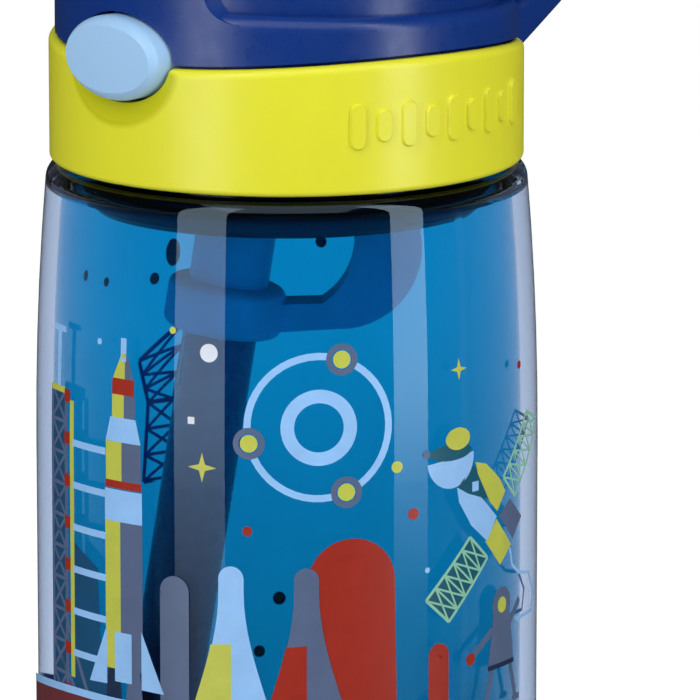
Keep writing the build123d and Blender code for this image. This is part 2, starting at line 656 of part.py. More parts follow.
PIECES = {
    "bottle_body": bottle_body,
    "threaded_collar": threaded_collar,
    "lid_housing": lid_housing,
    "carry_handle": carry_handle,
    "seal_deck": seal_deck,
    "seal_ring": seal_ring,
    "straw_sleeve": straw_sleeve,
    "straw": straw,
    "vent_valve": vent_valve,
    "push_button": push_button,
    "button_latch": button_latch,
    "button_spring": button_spring,
    "flip_cover": flip_cover,
    "cover_pin": cover_pin,
    "cover_spring": cover_spring,
    "spout": spout,
    "spout_core": spout_core,
    "spout_pin": spout_pin,
    "spout_spring": spout_spring,
    "flex_tube": flex_tube,
}


def main():
    os.makedirs("parts", exist_ok=True)
    for name, make in PIECES.items():
        export_step(make(), f"parts/{name}.step")


main()
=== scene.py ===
"""Looks for the kids water bottle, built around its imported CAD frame.

Lengths are in metres. Names ending in _MM, and the flat pictures, are in millimetres.
"""
import json
import math

import bmesh
import bpy
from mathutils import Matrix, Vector

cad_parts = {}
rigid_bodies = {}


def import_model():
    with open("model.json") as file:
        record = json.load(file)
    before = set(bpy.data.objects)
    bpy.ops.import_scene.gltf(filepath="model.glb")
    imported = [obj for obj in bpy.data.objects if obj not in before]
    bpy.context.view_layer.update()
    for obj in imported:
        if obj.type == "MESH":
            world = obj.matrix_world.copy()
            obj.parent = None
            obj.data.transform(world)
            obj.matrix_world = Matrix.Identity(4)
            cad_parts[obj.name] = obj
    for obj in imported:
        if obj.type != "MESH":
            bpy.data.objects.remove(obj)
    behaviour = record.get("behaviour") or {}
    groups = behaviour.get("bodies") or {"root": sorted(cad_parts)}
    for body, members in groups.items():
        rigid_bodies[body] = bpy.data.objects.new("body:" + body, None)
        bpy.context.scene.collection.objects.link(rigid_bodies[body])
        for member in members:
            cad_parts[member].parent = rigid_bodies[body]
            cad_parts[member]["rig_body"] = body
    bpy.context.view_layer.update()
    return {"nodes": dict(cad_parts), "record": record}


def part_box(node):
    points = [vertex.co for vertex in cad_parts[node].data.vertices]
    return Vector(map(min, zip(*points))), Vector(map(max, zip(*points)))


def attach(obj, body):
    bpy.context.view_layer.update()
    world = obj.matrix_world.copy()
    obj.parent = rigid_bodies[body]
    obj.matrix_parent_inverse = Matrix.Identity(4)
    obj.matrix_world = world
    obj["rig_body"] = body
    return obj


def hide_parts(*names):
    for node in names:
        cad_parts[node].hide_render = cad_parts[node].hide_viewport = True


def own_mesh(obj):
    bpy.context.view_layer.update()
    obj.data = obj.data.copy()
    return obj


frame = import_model()
nodes = frame["nodes"]
MM = 0.001

# ---- places and sizes, from the frame -------------------------------------------------------
BODY_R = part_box("bottle_body")[1].x
STRAIGHT_LOW, STRAIGHT_HIGH = 60 * MM, 100 * MM
UPPER_ARC_R, LOWER_ARC_R = 447 * MM, 800 * MM
SHOULDER_Z = 140.3 * MM
WALL = 2.4 * MM
NECK_MID_R = 29.5 * MM
PUSH_UP = 3.5 * MM
BASE_RING_R = 26 * MM
SCOOP_R = 26.7 * MM
SCOOP_Y, SCOOP_Z = -59.0 * MM, 159.0 * MM

# ---- printed pictures' common places -------------------------------------------------------
PICTURE_TURN = 1.0          # degrees that the printed wrap is turned from the button
GROUND_MM = 30.0            # the hill runs down to the printed ground
FOOT_MM = 60.0              # tall pictures end behind the hill
FLARE_REACH_MM, FLARE_LENGTH_MM, FLARE_POWER = 9.0, 23.8, 1.9

# ---- camera and studio ------------------------------------------------------------------------
CAMERA_HEADING = 45.0       # degrees round from the front, towards +X
CAMERA_ELEVATION = 12.58
CAMERA_DISTANCE = 1.1
CAMERA_TARGET_Z = 95 * MM
CAMERA_LENS_MM = 392.2
AIM_RIGHT = 9.1 * MM
AIM_UP = 17.0 * MM
SOFTBOX_DISTANCE = 0.30
SOFTBOX_HEIGHT = 0.60
LAMP_COLOUR = (0.95, 0.98, 1.0)
OVERHEAD_TILT, OVERHEAD_DISTANCE, OVERHEAD_SIZE, OVERHEAD_POWER = 62.0, 1.3, 1.2, 5.0
ROOM_SEEN, ROOM_REFLECTED = 0.34, 0.04
PAPER_GLOW = 0.8
FLOOR_SIZE = 12.0


# ---- node helpers -------------------------------------------------------------------------------
class Shader:
    """A material being wired: short calls for the nodes that the surfaces here are made of."""

    def __init__(self, name):
        self.material = bpy.data.materials.new(name)
        self.material.use_nodes = True
        self.tree = self.material.node_tree
        self.tree.nodes.clear()
        self.output = self.tree.nodes.new("ShaderNodeOutputMaterial")
        self.place = self.tree.nodes.new("ShaderNodeTexCoord").outputs["Object"]

    def link(self, source, target):
        self.tree.links.new(source, target)

    def principled(self, **values):
        node = self.tree.nodes.new("ShaderNodeBsdfPrincipled")
        for key, value in values.items():
            node.inputs[key.replace("_", " ")].default_value = value
        self.link(node.outputs["BSDF"], self.output.inputs["Surface"])
        return node

    def noise(self, scale, detail=3.0, rough=0.5, stretch=None):
        node = self.tree.nodes.new("ShaderNodeTexNoise")
        node.inputs["Scale"].default_value = scale
        node.inputs["Detail"].default_value = detail
        node.inputs["Roughness"].default_value = rough
        place = self.place
        if stretch:
            mapping = self.tree.nodes.new("ShaderNodeMapping")
            mapping.inputs["Scale"].default_value = stretch
            self.link(place, mapping.inputs["Vector"])
            place = mapping.outputs["Vector"]
        self.link(place, node.inputs["Vector"])
        return node.outputs["Fac"]

    def remap(self, value, low, high, start=0.3, stop=0.7):
        node = self.tree.nodes.new("ShaderNodeMapRange")
        node.inputs["From Min"].default_value = start
        node.inputs["From Max"].default_value = stop
        node.inputs["To Min"].default_value = low
        node.inputs["To Max"].default_value = high
        self.link(value, node.inputs["Value"])
        return node.outputs["Result"]

    def math(self, operation, a, b=0.0, c=0.0):
        node = self.tree.nodes.new("ShaderNodeMath")
        node.operation = operation
        for socket, value in zip(node.inputs, (a, b, c)):
            if isinstance(value, bpy.types.NodeSocket):
                self.link(value, socket)
            else:
                socket.default_value = value
        return node.outputs["Value"]

    def blend(self, factor, first, second):
        node = self.tree.nodes.new("ShaderNodeMix")
        node.data_type = "RGBA"
        for name, value in (("Factor", factor), ("A", first), ("B", second)):
            socket = next(s for s in node.inputs if s.name == name and s.enabled)
            if isinstance(value, bpy.types.NodeSocket):
                self.link(value, socket)
            elif name == "Factor":
                socket.default_value = value
            else:
                socket.default_value = (*value, 1.0)
        return next(s for s in node.outputs if s.enabled)

    def bump(self, height, distance):
        node = self.tree.nodes.new("ShaderNodeBump")
        node.inputs["Distance"].default_value = distance
        node.inputs["Strength"].default_value = 1.0
        self.link(height, node.inputs["Height"])
        return node.outputs["Normal"]


def shade(colour, factor):
    return tuple(min(1.0, channel * factor) for channel in colour)


# ---- materials ----------------------------------------------------------------------------------
def moulded_plastic(name, colour, rough, vary=0.05, scoop_shade=None):
    """Injection-moulded plastic: faint flow variation and uneven gloss, and a darker painted shade in the
    scoop.
    """
    shader = Shader(name)
    surface = shader.principled(IOR=1.5)
    flow = shader.noise(45.0, 4.0, 0.55, (1.0, 1.0, 0.45))
    tint = shader.blend(shader.remap(flow, 0.0, 1.0), shade(colour, 1 - vary), shade(colour, 1 + vary))
    if scoop_shade:
        tint = shader.blend(scoop_shade_mask(shader), tint, scoop_shade)
    shader.link(tint, surface.inputs["Base Color"])
    gloss = shader.noise(420.0, 3.0)
    shader.link(shader.remap(gloss, rough - 0.05, rough + 0.05), surface.inputs["Roughness"])
    return shader.material


def scoop_shade_mask(shader):
    """1 on the scooped surface round the button, where shade is painted, 0 on the collar's own skin."""
    parts = shader.tree.nodes.new("ShaderNodeSeparateXYZ")
    shader.link(shader.place, parts.inputs["Vector"])
    y = shader.math("SUBTRACT", parts.outputs["Y"], SCOOP_Y)
    z = shader.math("SUBTRACT", parts.outputs["Z"], SCOOP_Z)
    square = shader.math("ADD", shader.math("MULTIPLY", y, y), shader.math("MULTIPLY", z, z))
    reach = shader.math("SQRT", square)
    return shader.remap(reach, 1.0, 0.0, SCOOP_R + 0.05 * MM, SCOOP_R + 0.35 * MM)


def silicone(name, colour, rough, clear=0.0):
    """Soft rubber: cloudy, with a dusty, slightly uneven surface."""
    shader = Shader(name)
    surface = shader.principled(IOR=1.41, Transmission_Weight=clear, Sheen_Weight=0.15)
    cloud = shader.noise(160.0, 3.0)
    tint = shader.blend(shader.remap(cloud, 0.0, 1.0), shade(colour, 0.9), shade(colour, 1.08))
    shader.link(tint, surface.inputs["Base Color"])
    dust = shader.noise(1500.0, 3.0)
    shader.link(shader.remap(dust, rough - 0.07, rough + 0.07), surface.inputs["Roughness"])
    shader.link(shader.bump(dust, 8e-6), surface.inputs["Normal"])
    return shader.material


def drawn_wire(name):
    """Bright steel wire and pins with fine drawing lines."""
    shader = Shader(name)
    surface = shader.principled(Metallic=1.0)
    lines = shader.noise(2600.0, 2.0, 0.5, (0.06, 1.0, 1.0))
    tint = shader.blend(shader.remap(lines, 0.0, 1.0), (0.52, 0.52, 0.54), (0.72, 0.72, 0.73))
    shader.link(tint, surface.inputs["Base Color"])
    shader.link(shader.remap(lines, 0.2, 0.34), surface.inputs["Roughness"])
    return shader.material


def shell_inside(shader):
    """1 on the shell's inner surfaces, 0 on its outer skin, from height and radius alone."""
    parts = shader.tree.nodes.new("ShaderNodeSeparateXYZ")
    shader.link(shader.place, parts.inputs["Vector"])
    x, y, z = parts.outputs
    square = shader.math("ADD", shader.math("MULTIPLY", x, x), shader.math("MULTIPLY", y, y))
    radius = shader.math("SQRT", square)
    above = shader.math("MAXIMUM", shader.math("SUBTRACT", z, STRAIGHT_HIGH), 0.0)
    below = shader.math("MAXIMUM", shader.math("SUBTRACT", STRAIGHT_LOW, z), 0.0)
    lean_in = shader.math("MULTIPLY", shader.math("MULTIPLY", above, above), 0.5 / UPPER_ARC_R)
    taper = shader.math("MULTIPLY", shader.math("MULTIPLY", below, below), 0.5 / LOWER_ARC_R)
    middle = shader.math("SUBTRACT", shader.math("SUBTRACT", BODY_R - WALL / 2, lean_in), taper)
    in_neck = shader.math("GREATER_THAN", z, SHOULDER_Z - WALL / 2)
    limit = shader.math("MULTIPLY_ADD", in_neck, shader.math("SUBTRACT", NECK_MID_R, middle), middle)
    inside_wall = shader.math("LESS_THAN", radius, limit)
    dome = shader.math("MULTIPLY", square, -PUSH_UP / BASE_RING_R**2)
    floor = shader.math("MAXIMUM", shader.math("ADD", dome, PUSH_UP), 0.0)
    over_floor = shader.math("GREATER_THAN", z, shader.math("ADD", floor, WALL / 2))
    return shader.math("MULTIPLY", inside_wall, over_floor)


def clear_shell():
    """Clear outer skin over a blue inner tint, with faint scuffs, painted shade on the neck under the
    collar, and lamps let through.
    """
    shader = Shader("clear_shell")
    surface = shader.principled(IOR=1.5, Transmission_Weight=1.0)
    inside = shell_inside(shader)
    cloud = shader.remap(shader.noise(30.0, 3.0), 0.0, 1.0)
    skin = shader.blend(cloud, (0.42, 0.54, 0.76), (0.47, 0.59, 0.81))
    parts = shader.tree.nodes.new("ShaderNodeSeparateXYZ")
    shader.link(shader.place, parts.inputs["Vector"])
    # the inner tint is half as bright at 55 mm and below, rising to full at 125 mm
    height = shader.remap(parts.outputs["Z"], 0.0, 1.0, 55 * MM, 125 * MM)
    low_tint = shader.blend(cloud, shade(TINT_DEEP, 0.5), shade(TINT_LIGHT, 0.5))
    tint = shader.blend(height, low_tint, shader.blend(cloud, TINT_DEEP, TINT_LIGHT))
    # painted shade: above the shoulder the shell's colour goes near-black, for the shadowed gap under the
    # collar
    painted_neck_shade = shader.remap(parts.outputs["Z"], 0.0, 1.0, SHOULDER_Z - 1.8 * MM, SHOULDER_Z - 0.8 * MM)
    colour = shader.blend(painted_neck_shade, shader.blend(inside, skin, tint), (0.03, 0.035, 0.06))
    shader.link(colour, surface.inputs["Base Color"])
    glint = shader.blend(inside, (0.66, 0.86, 1.0), (0.0, 0.22, 0.32))
    shader.link(glint, surface.inputs["Specular Tint"])
    scuff = shader.noise(420.0, 4.0, 0.6, (1.0, 1.0, 0.3))
    shader.link(shader.remap(scuff, 0.01, 0.035, 0.45, 0.75), surface.inputs["Roughness"])
    path = shader.tree.nodes.new("ShaderNodeLightPath")
    through = shader.tree.nodes.new("ShaderNodeBsdfTransparent")
    shader.link(colour, through.inputs["Color"])
    mixer = shader.tree.nodes.new("ShaderNodeMixShader")
    shader.link(path.outputs["Is Shadow Ray"], mixer.inputs[0])
    shader.link(surface.outputs["BSDF"], mixer.inputs[1])
    shader.link(through.outputs["BSDF"], mixer.inputs[2])
    shader.link(mixer.outputs["Shader"], shader.output.inputs["Surface"])
    return shader.material


def ink(name, colour):
    """Screen-printed ink: slightly uneven film with a soft gloss."""
    shader = Shader(name)
    surface = shader.principled(IOR=1.45, Coat_Weight=0.15, Coat_Roughness=0.2)
    film = shader.noise(260.0, 4.0, 0.6)
    tint = shader.blend(shader.remap(film, 0.0, 1.0), shade(colour, 0.93), shade(colour, 1.05))
    shader.link(tint, surface.inputs["Base Color"])
    speck = shader.noise(3000.0, 2.0)
    shader.link(shader.remap(speck, 0.32, 0.46), surface.inputs["Roughness"])
    return shader.material


def studio_paper():
    """Plain pale sweep: bright to look at, dim in what it throws back on the bottle."""
    shader = Shader("studio_paper")
    surface = shader.principled(Roughness=0.9)
    fibre = shader.noise(35.0, 5.0)
    tint = shader.blend(shader.remap(fibre, 0.0, 1.0), (0.50, 0.50, 0.50), (0.53, 0.53, 0.53))
    shader.link(tint, surface.inputs["Base Color"])
    surface.inputs["Emission Color"].default_value = (1.0, 1.0, 1.0, 1.0)
    path = shader.tree.nodes.new("ShaderNodeLightPath")
    seen = shader.math("MAXIMUM", path.outputs["Is Camera Ray"], path.outputs["Is Transmission Ray"])
    shader.link(shader.math("MULTIPLY", seen, PAPER_GLOW), surface.inputs["Emission Strength"])
    black = shader.tree.nodes.new("ShaderNodeBsdfDiffuse")
    black.inputs["Color"].default_value = (0.08, 0.08, 0.09, 1.0)
    mixer = shader.tree.nodes.new("ShaderNodeMixShader")
    glossy, passing = path.outputs["Is Glossy Ray"], path.outputs["Is Transmission Ray"]
    reflected = shader.math("GREATER_THAN", glossy, passing)
    shader.link(reflected, mixer.inputs[0])
    shader.link(surface.outputs["BSDF"], mixer.inputs[1])
    shader.link(black.outputs["BSDF"], mixer.inputs[2])
    shader.link(mixer.outputs["Shader"], shader.output.inputs["Surface"])
    return shader.material


TINT_DEEP = (0.001, 0.35, 0.62)
TINT_LIGHT = (0.002, 0.39, 0.67)
NAVY = (0.003, 0.032, 0.20)
INKS = {
    "light_blue": ink("ink_light_blue", (0.31, 0.57, 0.95)),
    "lime": ink("ink_lime", (0.55, 0.58, 0.075)),
    "red": ink("ink_red", (0.37, 0.022, 0.009)),
    "grey": ink("ink_grey", (0.10, 0.14, 0.25)),
    "rust": ink("ink_rust", (0.17, 0.03, 0.035)),
    "plum": ink("ink_plum", (0.11, 0.085, 0.18)),
    "dark": ink("ink_dark", (0.012, 0.03, 0.075)),
    "white": ink("ink_white", (0.75, 0.80, 0.88)),
    "mint": ink("ink_mint", (0.28, 0.60, 0.42)),
    "dusk": ink("ink_dusk", (0.006, 0.075, 0.18)),
    "teal": ink("ink_teal", (0.004, 0.10, 0.16)),
}

looks = {
    "clear_shell": clear_shell(),
    # painted shade: the scoop round the button gets a darker yellow, for the shade in the hollow
    "collar_green": moulded_plastic(
        "collar_green", (0.80, 0.77, 0.028), 0.33, vary=0.03, scoop_shade=(0.60, 0.58, 0.004)),
    "navy_plastic": moulded_plastic("navy_plastic", NAVY, 0.30),
    "navy_inner": moulded_plastic("navy_inner", (0.008, 0.016, 0.06), 0.34),
    "button_blue": moulded_plastic("button_blue", (0.37, 0.60, 0.87), 0.36, vary=0.03),
    "straw_navy": moulded_plastic("straw_navy", (0.02, 0.12, 0.27), 0.28),
    "sleeve_silicone": silicone("sleeve_silicone", (0.06, 0.60, 0.84), 0.42),
    "clear_silicone": silicone("clear_silicone", (0.80, 0.84, 0.88), 0.35, 0.45),
    "latch_acetal": moulded_plastic("latch_acetal", (0.72, 0.73, 0.72), 0.38, vary=0.03),
    "steel_wire": drawn_wire("steel_wire"),
}

for part in frame["record"]["subparts"]:
    mesh = nodes[part["node"]].data
    mesh.materials.clear()
    mesh.materials.append(looks[part["material_slot"]])


def pressed_spring(node, name):
    """A copy of the push button's spring, with a mesh of its own, shown in place of the spring."""
    piece = bpy.data.objects.new(name, nodes[node].data.copy())
    bpy.context.scene.collection.objects.link(piece)
    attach(piece, nodes[node]["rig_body"])
    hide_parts(node)
    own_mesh(piece)


pressed_spring("button_spring", "button_coil")


# ---- printed pictures -----------------------------------------------------------------------------
def side_radius(z):
    """Outer radius of the bottle's side at a height, in metres."""
    if z > STRAIGHT_HIGH:
        return BODY_R - UPPER_ARC_R + math.sqrt(UPPER_ARC_R**2 - (z - STRAIGHT_HIGH) ** 2)
    if z < STRAIGHT_LOW:
        return BODY_R - LOWER_ARC_R + math.sqrt(LOWER_ARC_R**2 - (STRAIGHT_LOW - z) ** 2)
    return BODY_R


def arc(cx, cy, radius, start, stop, count=None):
    """Points along a circular arc; angles in degrees."""
    count = count or max(3, int(abs(stop - start) / 9) + 1)
    step = (stop - start) / (count - 1)
    turns = [math.radians(start + step * i) for i in range(count)]
    return [(cx + radius * math.cos(t), cy + radius * math.sin(t)) for t in turns]


def oval(cx, cy, half_width, half_height, turns):
    """Points round an ellipse at the given turns in degrees."""
    angles = [math.radians(turn) for turn in turns]
    return [(cx + half_width * math.cos(a), cy + half_height * math.sin(a)) for a in angles]


class Print:
    """One printed picture: flat shapes in millimetres about a centre, wrapped round the bottle."""

    SLICE_MM = 1.6
    FILM = 0.05 * MM
    LIFT = 0.03 * MM

    def __init__(self, name, heading, height_mm, tilt=0.0, size=1.0, over=0):
        self.name, self.height, self.size, self.over = name, height_mm, size, over
        self.heading = heading + PICTURE_TURN
        self.turn = math.radians(tilt)
        self.shapes = []

    def fill(self, colour, outline, layer=0):
        """A filled outline."""
        self.shapes.append((colour, [outline], layer))

    def box(self, colour, left, right, low, high, layer=0):
        self.fill(colour, [(left, low), (right, low), (right, high), (left, high)], layer)

    def disc(self, colour, x, y, radius, layer=0):
        self.fill(colour, arc(x, y, radius, 0, 351, 40), layer)

    def band(self, colour, outer, inner, layer=0):
        """The strip between two open rows of points of equal length."""
        quads = [
            [outer[i], outer[i + 1], inner[i + 1], inner[i]] for i in range(len(outer) - 1)
        ]
        self.shapes.append((colour, quads, layer))

    def ring(self, colour, x, y, outer, inner, start=0, stop=360, layer=0):
        count = max(6, int(abs(stop - start) / 7) + 1)
        edges = [arc(x, y, radius, start, stop, count) for radius in (outer, inner)]
        self.band(colour, *edges, layer)

    def line(self, colour, a, b, width, layer=0):
        dx, dy = b[0] - a[0], b[1] - a[1]
        scale = width / 2 / math.hypot(dx, dy)
        nx, ny = -dy * scale, dx * scale
        near = [(a[0] + nx, a[1] + ny), (a[0] - nx, a[1] - ny)]
        far = [(b[0] - nx, b[1] - ny), (b[0] + nx, b[1] + ny)]
        self.fill(colour, near + far, layer)

    def star(self, colour, x, y, radius, layer=0):
        """Four-pointed star with hollow sides."""
        points = []
        for corner in range(4):
            a = math.radians(90 * corner)
            b = math.radians(90 * corner + 45)
            points.append((x + radius * math.cos(a), y + radius * math.sin(a)))
            points.append((x + radius * 0.3 * math.cos(b), y + radius * 0.3 * math.sin(b)))
        self.fill(colour, points, layer)

    def lattice(self, colour, corners, cells, width, layer=0):
        """Framed panel of crossed bars between four corners, given round the panel."""
        a, b, c, d = (Vector(p) for p in corners)
        for start, stop in ((a, b), (b, c), (c, d), (d, a)):
            self.line(colour, start, stop, width, layer)
        for i in range(cells):
            s, t = i / cells, (i + 1) / cells
            left, right = a.lerp(d, s), b.lerp(c, s)
            left_up, right_up = a.lerp(d, t), b.lerp(c, t)
            self.line(colour, left, right_up, width * 0.7, layer)
            self.line(colour, right, left_up, width * 0.7, layer)
            if i:
                self.line(colour, left, right, width * 0.7, layer)

    def wrap(self, u, v, lift):
        """A flat point, in millimetres, on the bottle's side."""
        x = (u * math.cos(self.turn) - v * math.sin(self.turn)) * self.size * MM
        z = ((u * math.sin(self.turn) + v * math.cos(self.turn)) * self.size + self.height) * MM
        angle = math.radians(self.heading) + x / BODY_R
        radius = side_radius(z) + lift
        return Vector((radius * math.sin(angle), -radius * math.cos(angle), z))

    def build(self):
        """Cuts the shapes to follow the side's curve and gives them a film's thickness."""
        mesh = bpy.data.meshes.new(self.name)
        whole = bmesh.new()
        colours = sorted({colour for colour, _, _ in self.shapes})
        for colour, outlines, layer in self.shapes:
            flat = bmesh.new()
            for outline in outlines:
                flat.faces.new([flat.verts.new((u, v, 0)) for u, v in outline])
            bmesh.ops.remove_doubles(flat, verts=flat.verts, dist=1e-4)
            bmesh.ops.triangulate(flat, faces=flat.faces)
            for axis in (0, 1):
                low = min(v.co[axis] for v in flat.verts)
                high = max(v.co[axis] for v in flat.verts)
                pitch = self.SLICE_MM * (1 if axis == 0 else 2.5) / self.size
                for step in range(math.ceil(low / pitch), math.floor(high / pitch) + 1):
                    place = [0.0, 0.0, 0.0]
                    place[axis] = step * pitch
                    normal = [0.0, 0.0, 0.0]
                    normal[axis] = 1.0
                    geometry = flat.verts[:] + flat.edges[:] + flat.faces[:]
                    bmesh.ops.bisect_plane(flat, geom=geometry, plane_co=place, plane_no=normal)
            lift = self.LIFT + (self.over + layer) * self.FILM * 0.6
            for vert in flat.verts:
                vert.co = self.wrap(vert.co.x, vert.co.y, lift)
            bmesh.ops.recalc_face_normals(flat, faces=flat.faces)
            flat.normal_update()
            for face in flat.faces:
                middle = face.calc_center_median()
                if face.normal.dot(Vector((middle.x, middle.y, 0))) < 0:
                    face.normal_flip()
            skin = flat.faces[:]
            grown = bmesh.ops.extrude_face_region(flat, geom=skin)
            for item in grown["geom"]:
                if isinstance(item, bmesh.types.BMVert):
                    outward = Vector((item.co.x, item.co.y, 0)).normalized()
                    item.co += outward * self.FILM
            for face in skin:
                if face.is_valid:
                    face.normal_flip()
            slot = colours.index(colour)
            for face in flat.faces:
                face.material_index = slot
                face.smooth = True
            piece = bpy.data.meshes.new("part")
            flat.to_mesh(piece)
            flat.free()
            whole.from_mesh(piece)
            bpy.data.meshes.remove(piece)
        for edge in whole.edges:
            if len(edge.link_faces) != 2 or edge.calc_face_angle(0.0) > math.radians(40):
                edge.smooth = False
        whole.to_mesh(mesh)
        whole.free()
        for colour in colours:
            mesh.materials.append(INKS[colour])
        piece = bpy.data.objects.new(self.name, mesh)
        bpy.context.scene.collection.objects.link(piece)
        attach(piece, "bottle")
        return piece


def launch_tower():
    """Lattice tower with a T-shaped mast, red landings and service arms, on a low mound."""
    art = Print("print_tower", -18.6, 0, over=3)
    low, high = FOOT_MM, 110.4
    art.box("dusk", -2.6, 1.8, low, high, -1)
    art.fill("dusk", [(3.4, low), (14.0, low), (14.0, 71.0), (9.8, 76.0), (9.4, 86.0), (3.4, 89.0)], -1)
    art.lattice("grey", [(-2.6, low), (1.8, low), (1.8, high), (-2.6, high)], 11, 0.75)
    art.line("grey", (1.8, 77.0), (7.2, 67.0), 0.7)
    art.line("grey", (-2.6, 73.5), (4.4, 67.0), 0.6)
    art.box("lime", 2.9, 3.9, 69.0, high - 1.2)
    for landing in range(8):
        level = 109.7 - 6.1 * landing
        art.box("red", 1.4, 2.9, level - 0.9, level + 0.9, 1)
    for arm in range(6):
        level = 103.2 - 6.1 * arm
        art.box("light_blue", 3.7, 11.2, level - 0.5, level + 0.5, 1)
    art.box("light_blue", -1.0, 0.1, high, high + 8.6)
    art.box("light_blue", -2.3, 1.4, high + 8.2, high + 9.1)
    art.box("lime", -2.8, 1.4, high - 0.5, high + 0.4, 1)
    return art


def hill():
    """Broad rust-red hill in front of everything that stands on it, with a pale crest."""
    art = Print("print_hill", -4.3, 0, over=8)
    crest = []
    for step in range(-48, 81, 2):
        bend, shoulder = (0.0044, 26.0) if step < 0 else (0.001, 58.0)
        beyond = max(0.0, abs(step) - shoulder)
        crest.append((step, 67.8 - bend * step**2 - 0.06 * beyond**2))
    low = [(u, min(v - 1.2, GROUND_MM)) for u, v in crest]
    art.band("light_blue", crest, [(u, v - 1.1) for u, v in crest], 1)
    art.band("rust", [(u, v - 1.1) for u, v in crest], low)
    craters = ((-31, 42, 1.4), (-22, 52, 2.4), (-9, 44, 1.6), (6, 55, 2.0), (17, 46, 2.8), (31, 44, 1.3),
               (40, 56, 2.3), (52, 46, 1.7), (62, 55, 1.4))
    for u, v, radius in craters:
        art.disc("plum", u, v, radius, 1)
        art.ring("grey", u, v, radius + 0.4, radius, 200, 340, 2)
    return art


def rocket(name, heading, base):
    """Stepped rocket with fins, in two tones."""
    art = Print(name, heading, base, over=3)
    art.box("light_blue", -0.5, 0.5, 46.5, 49.8)
    art.fill("lime", [(-1.9, 44.0), (0.3, 44.0), (0.3, 47.6), (-0.3, 47.6)])
    art.fill("grey", [(0.3, 44.0), (1.9, 44.0), (0.8, 47.2), (0.3, 47.6)])
    art.box("red", -2.0, 2.0, 41.7, 44.0, 1)
    art.box("lime", -2.0, 0.2, 38.4, 41.7)
    art.box("grey", 0.2, 2.2, 38.4, 41.7)
    art.fill("light_blue", [(-2.3, 38.4), (2.3, 38.4), (3.2, 34.9), (-3.2, 34.9)], 1)
    art.box("lime", -3.2, -0.2, 29.2, 34.9)
    art.box("grey", -0.2, 3.2, 29.2, 34.9)
    art.box("red", -3.3, 3.3, 28.2, 29.3, 1)
    art.box("light_blue", -3.4, 3.4, 23.4, 28.0, 1)
    art.box("lime", -3.4, -0.5, 2.0, 23.4)
    art.box("grey", -0.5, 3.4, 2.0, 23.4)
    art.box("light_blue", -1.6, 1.5, 0.2, 7.4, 2)
    art.fill("light_blue", [(-3.2, 8.0), (-3.2, -0.4), (-6.9, -0.6)], 1)
    art.fill("light_blue", [(3.2, 8.0), (6.9, -0.6), (3.2, -0.4)], 1)
    art.fill("dark", [(-2.9, 2.0), (-0.9, 2.0), (-0.4, -2.4), (-3.4, -2.4)])
    art.fill("grey", [(0.9, 2.0), (2.9, 2.0), (3.4, -2.4), (0.4, -2.4)])
    return art


def flare(half, drop):
    """Half width of a column with sides that sweep out below its straight top."""
    bend = (max(0.0, drop) / FLARE_LENGTH_MM) ** FLARE_POWER
    return half + FLARE_REACH_MM * (1.0 - math.exp(-bend))


def flared_column(art, colour, wing, centre, top, half, layer):
    """Round-topped column with sweeping sides, and a wing in another ink on its left half."""
    rise = top - half
    drops = [(rise - 2.0 - FOOT_MM) * i / 14 for i in range(15)]
    left = [(centre - flare(half, drop), rise - 2.0 - drop) for drop in drops]
    right = [(2 * centre - u, v) for u, v in reversed(left)]
    art.fill(colour, arc(centre, rise, half, 0, 180) + left + right, layer)
    edge = [(u - 0.15, v) for u, v in left if v < top - 12.0]
    start = (centre - flare(half, 10.2 - half), top - 11.4)
    art.fill(wing, [(centre, top - 11.2), start] + edge + [(centre, FOOT_MM)], layer + 1)


def skyline():
    """Row of columns and a domed hangar on the horizon, from the rocket round to the right."""
    art = Print("print_skyline", 30.0, 0, over=3)
    art.box("grey", -9.8, -5.3, FOOT_MM, 84.5)
    art.disc("grey", -7.55, 84.5, 2.25)
    dome = arc(18.0, 86.4, 6.3, 0, 180)
    art.fill("red", dome + [(11.7, FOOT_MM), (24.6, FOOT_MM), (24.6, 70.0)])
    flared_column(art, "light_blue", "lime", 0.9, 88.8, 1.8, 1)
    flared_column(art, "grey", "red", 11.5, 88.7, 1.75, 3)
    art.box("red", 29.8, 33.3, FOOT_MM, 74.4)
    art.disc("red", 31.55, 74.4, 1.75)
    return art


def orbit_badge(name, heading, height, size=1.0):
    """Ring with a hub and three small planets on it."""
    art = Print(name, heading, height, 0.0, size)
    planets = (71.0, 193.0, -67.5)
    gap = 12.5
    stops = sorted(p % 360 for p in planets)
    for here, there in zip(stops, stops[1:] + [stops[0] + 360]):
        art.ring("light_blue", 0, 0, 10.6, 9.6, here + gap, there - gap)
    art.ring("light_blue", 0, 0, 5.4, 3.5)
    for turn in planets:
        x, y = 10.1 * math.cos(math.radians(turn)), 10.1 * math.sin(math.radians(turn))
        art.ring("grey", x, y, 2.25, 1.45)
        art.disc("lime", x, y, 1.25)
    return art


